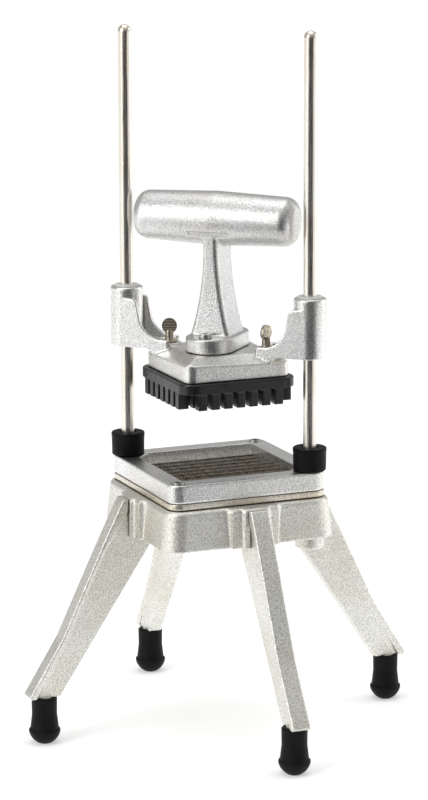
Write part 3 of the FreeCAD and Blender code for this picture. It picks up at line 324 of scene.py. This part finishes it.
def polished_steel(name, colour, roughness):
    """Ground bar or strip with fine lines up it and faint warm patches."""
    g = Graph(name)
    g.set(Metallic=1.0)
    lines = g.noise(0.5, detail=2, vector=g.stretched(1, 1, 0.02))
    warm_patches = g.noise(30, detail=3)
    warmed = tuple(part * tint for part, tint in zip(colour, WARM_PATCH_TINT))
    g.link(g.ramp(warm_patches, (0.35, colour), (0.70, warmed)), "Base Color")
    g.link(g.grey(lines, roughness * 0.7, roughness * 1.5, 0.3, 0.7), "Roughness")
    g.link(g.bump(lines, 0.02, 0.35), "Normal")
    return g.material


def black_rubber(name):
    """Matt moulded rubber with a little dust."""
    g = Graph(name)
    dust = g.noise(9, detail=4, rough=0.65)
    g.link(g.ramp(dust, (0.40, flat_grey(0.002)), (0.80, flat_grey(0.008))), "Base Color")
    g.link(g.grey(dust, 0.42, 0.62, 0.3, 0.7), "Roughness")
    g.set(Specular_IOR_Level=0.14)
    g.link(g.bump(g.noise(0.9, detail=3), 0.12, 0.5), "Normal")
    return g.material


def black_plastic(name):
    """Moulded plastic with a half-gloss, hazy skin."""
    g = Graph(name)
    haze = g.noise(7, detail=3)
    g.link(g.ramp(haze, (0.35, (0.004, 0.004, 0.005)), (0.75, (0.011, 0.011, 0.012))), "Base Color")
    g.link(g.grey(haze, 0.24, 0.40, 0.3, 0.7), "Roughness")
    g.link(g.bump(g.noise(1.6, detail=3), 0.10, 0.5), "Normal")
    return g.material


def white_nylon(name):
    """Nylon with fine turned rings."""
    g = Graph(name)
    turned = g.noise(0.35, detail=1, vector=g.stretched(0.05, 0.05, 1))
    tone = g.noise(5, detail=2)
    g.link(g.ramp(tone, (0.3, (0.74, 0.74, 0.71)), (0.7, (0.68, 0.67, 0.63))), "Base Color")
    g.link(g.grey(tone, 0.38, 0.5), "Roughness")
    g.set(Subsurface_Weight=0.08)
    g.link(g.bump(turned, 0.04, 0.4), "Normal")
    return g.material


def dull_nickel(name, colour, tarnish):
    """Plated metal with small spots of tarnish."""
    g = Graph(name)
    g.set(Metallic=1.0)
    spots = g.noise(2.6, detail=4, rough=0.6)
    g.link(g.ramp(spots, (0.35, colour), (0.68, tarnish)), "Base Color")
    g.link(g.grey(spots, 0.22, 0.42, 0.3, 0.7), "Roughness")
    g.link(g.bump(g.noise(0.5, detail=2), 0.05, 0.5), "Normal")
    return g.material


MATERIALS = {
    "cast_aluminium": cast_aluminium("CastAluminium", (0.88, 0.88, 0.88), (0.82, 0.81, 0.77)),
    "plate_aluminium": cast_aluminium("PlateAluminium", (0.90, 0.85, 0.76), (0.76, 0.69, 0.56)),
    "rod_steel": polished_steel("RodSteel", (0.84, 0.81, 0.75), 0.27),
    # the blade steel is painted darker: painted shade for the shadow inside the base
    "blade_steel": polished_steel("BladeSteelPaintedShade", (0.50, 0.48, 0.45), 0.20),
    "zinc_steel": dull_nickel("ZincSteel", (0.62, 0.62, 0.61), (0.44, 0.43, 0.40)),
    "thumb_steel": dull_nickel("ThumbNickel", (0.60, 0.56, 0.47), (0.42, 0.37, 0.28)),
    "brass": dull_nickel("Brass", (0.80, 0.62, 0.32), (0.60, 0.44, 0.20)),
    "black_rubber": black_rubber("BlackRubber"),
    "black_plastic": black_plastic("BlackPlastic"),
    "white_nylon": white_nylon("WhiteNylon"),
}
# the base and legs came from the mould rougher and a little warmer than the head
ROUGH_CASTING = cast_aluminium("RoughCasting", (0.90, 0.89, 0.85), (0.84, 0.82, 0.74), 0.42, 1.4)
# the handle gets a darker, greyer copy of the casting: painted shade for the darker reflections on
# its bar
SHADED_HANDLE_CASTING = cast_aluminium("HandleCastingPaintedShade", (0.74, 0.74, 0.74), (0.69, 0.68, 0.65), 0.34, 1.2)
SLOT_OF = {row["node"]: row["material_slot"] for row in frame["record"]["subparts"]}
BODY_OF = {name: obj["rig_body"] for name, obj in nodes.items()}

# ------------------------------------------------------------------ pieces

WELD_DISTANCE_MM = 0.01
EDGE_WIDTH_MM = 0.15
EDGE_SEGMENTS = 2
EDGE_ANGLE = math.radians(35)     # edges sharper than this are rounded

ROUGH_CAST_PIECES = (             # node, voxel in mm, smoothing passes
    ("base_casting", 0.6, 4),
    ("leg_front", 0.6, 3),
    ("leg_right", 0.6, 3),
    ("leg_rear", 0.6, 3),
    ("leg_left", 0.6, 3),
)
CAST_PIECES = (
    ("blade_frame", 0.5, 3),
    ("blade_frame_plate", 0.5, 2),
    ("head_casting", 0.5, 4),
    ("pusher_block", 0.4, 3),
)


def add_weld(obj):
    """Joins the corners that neighbouring faces share."""
    obj.modifiers.new("Weld", "WELD").merge_threshold = WELD_DISTANCE_MM * MM


def finish_cad_node(name):
    """Gives a CAD node its material and, except on the rods, fine rounded edges."""
    obj = nodes[name]
    obj.data.materials.clear()
    obj.data.materials.append(MATERIALS[SLOT_OF[name]])
    if SLOT_OF[name] != "rod_steel":
        add_weld(obj)
        bevel = obj.modifiers.new("Edges", "BEVEL")
        bevel.width = EDGE_WIDTH_MM * MM
        bevel.segments = EDGE_SEGMENTS
        bevel.limit_method = "ANGLE"
        bevel.angle_limit = EDGE_ANGLE


def cast_piece(name, voxel_mm, passes, material=None):
    """Makes a piece with the CAD node's form and the soft edges and corners of a moulding."""
    mesh = nodes[name].data.copy()
    piece = bpy.data.objects.new(name + "_cast", mesh)
    bpy.context.scene.collection.objects.link(piece)
    add_weld(piece)
    remesh = piece.modifiers.new("Remesh", "REMESH")
    remesh.mode = "VOXEL"
    remesh.voxel_size = voxel_mm * MM
    smooth = piece.modifiers.new("Smooth", "SMOOTH")
    smooth.factor = 0.5
    smooth.iterations = passes
    bpy.context.view_layer.update()
    graph = bpy.context.evaluated_depsgraph_get()
    made = bpy.data.meshes.new_from_object(piece.evaluated_get(graph))
    piece.modifiers.clear()
    piece.data = made
    made.shade_smooth()
    made.materials.clear()
    made.materials.append(material or MATERIALS[SLOT_OF[name]])
    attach(piece, BODY_OF[name])
    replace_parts(piece, name)


make_camera()
make_surround()
for light in LIGHTS:
    area_light(*light)
make_floor()
make_dark_card()

for node, voxel_mm, passes in ROUGH_CAST_PIECES:
    cast_piece(node, voxel_mm, passes, ROUGH_CASTING)
for node, voxel_mm, passes in CAST_PIECES:
    cast_piece(node, voxel_mm, passes)
cast_piece("handle", 0.6, 6, SHADED_HANDLE_CASTING)
replaced = {name for obj in bpy.data.objects for name in obj.get("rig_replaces", [])}
for node in nodes:
    if node not in replaced:
        finish_cad_node(node)
